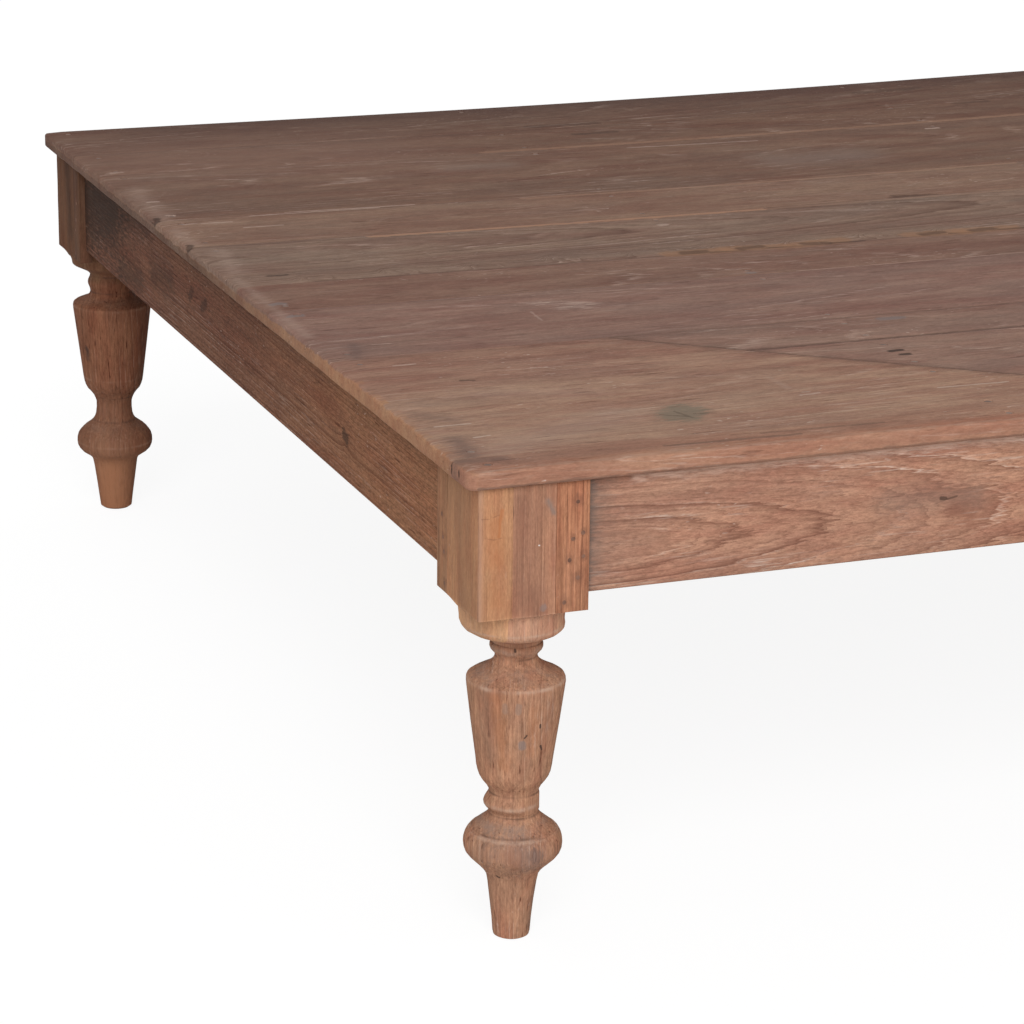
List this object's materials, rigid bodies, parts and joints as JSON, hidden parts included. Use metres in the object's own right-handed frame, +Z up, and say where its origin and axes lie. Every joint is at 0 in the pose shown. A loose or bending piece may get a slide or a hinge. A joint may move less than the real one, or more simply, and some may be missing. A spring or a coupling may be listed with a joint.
{
  "type": "coffee table",
  "caption": "Low coffee table with a wide nailed plank top in weathered teak, plain aprons and short turned legs under square blocks",
  "frame": {"origin": "bottom centre of the bounding box, on the floor under the middle of the top", "axes": "+X runs along the front, to the right of someone who looks at the front, and is the direction of the planks; +Y runs from the front to the back; +Z runs up from the floor to the top"},
  "size_m": [1.48, 1.389, 0.43],
  "materials": {
    "top_teak": "weathered grey brown old teak, matt",
    "frame_teak": "brown teak with pale limed grain, matt",
    "leg_teak": "tan teak with worn edges, matt",
    "nail_iron": "rusted dark iron"
  },
  "bodies": {
    "root": {"top_front_strip": "top_teak", "top_wide_plank": "top_teak", "top_front_fill_plank": "top_teak", "top_back_fill_plank": "top_teak", "top_plank_2": "top_teak", "top_plank_3": "top_teak", "top_plank_4": "top_teak", "top_plank_5": "top_teak", "top_plank_6": "top_teak", "top_plank_7": "top_teak", "top_rear_plank": "top_teak", "apron_front": "frame_teak", "apron_rear": "frame_teak", "apron_left": "frame_teak", "apron_right": "frame_teak", "bearer_left": "frame_teak", "bearer_right": "frame_teak", "leg_front_left_outer_stave": "leg_teak", "leg_front_left_inner_stave": "leg_teak", "leg_front_right_outer_stave": "leg_teak", "leg_front_right_inner_stave": "leg_teak", "leg_rear_left_outer_stave": "leg_teak", "leg_rear_left_inner_stave": "leg_teak", "leg_rear_right_outer_stave": "leg_teak", "leg_rear_right_inner_stave": "leg_teak", "cheek_front_left_long": "leg_teak", "cheek_front_left_end": "leg_teak", "cheek_front_right_long": "leg_teak", "cheek_front_right_end": "leg_teak", "cheek_rear_left_long": "leg_teak", "cheek_rear_left_end": "leg_teak", "cheek_rear_right_long": "leg_teak", "cheek_rear_right_end": "leg_teak", "cheek_nails_front_left": "nail_iron", "cheek_nails_front_right": "nail_iron", "cheek_nails_rear_left": "nail_iron", "cheek_nails_rear_right": "nail_iron", "top_nails_left": "nail_iron", "top_nails_left_bearer": "nail_iron", "top_nails_right_bearer": "nail_iron", "top_nails_right": "nail_iron"}
  },
  "joints": []
}
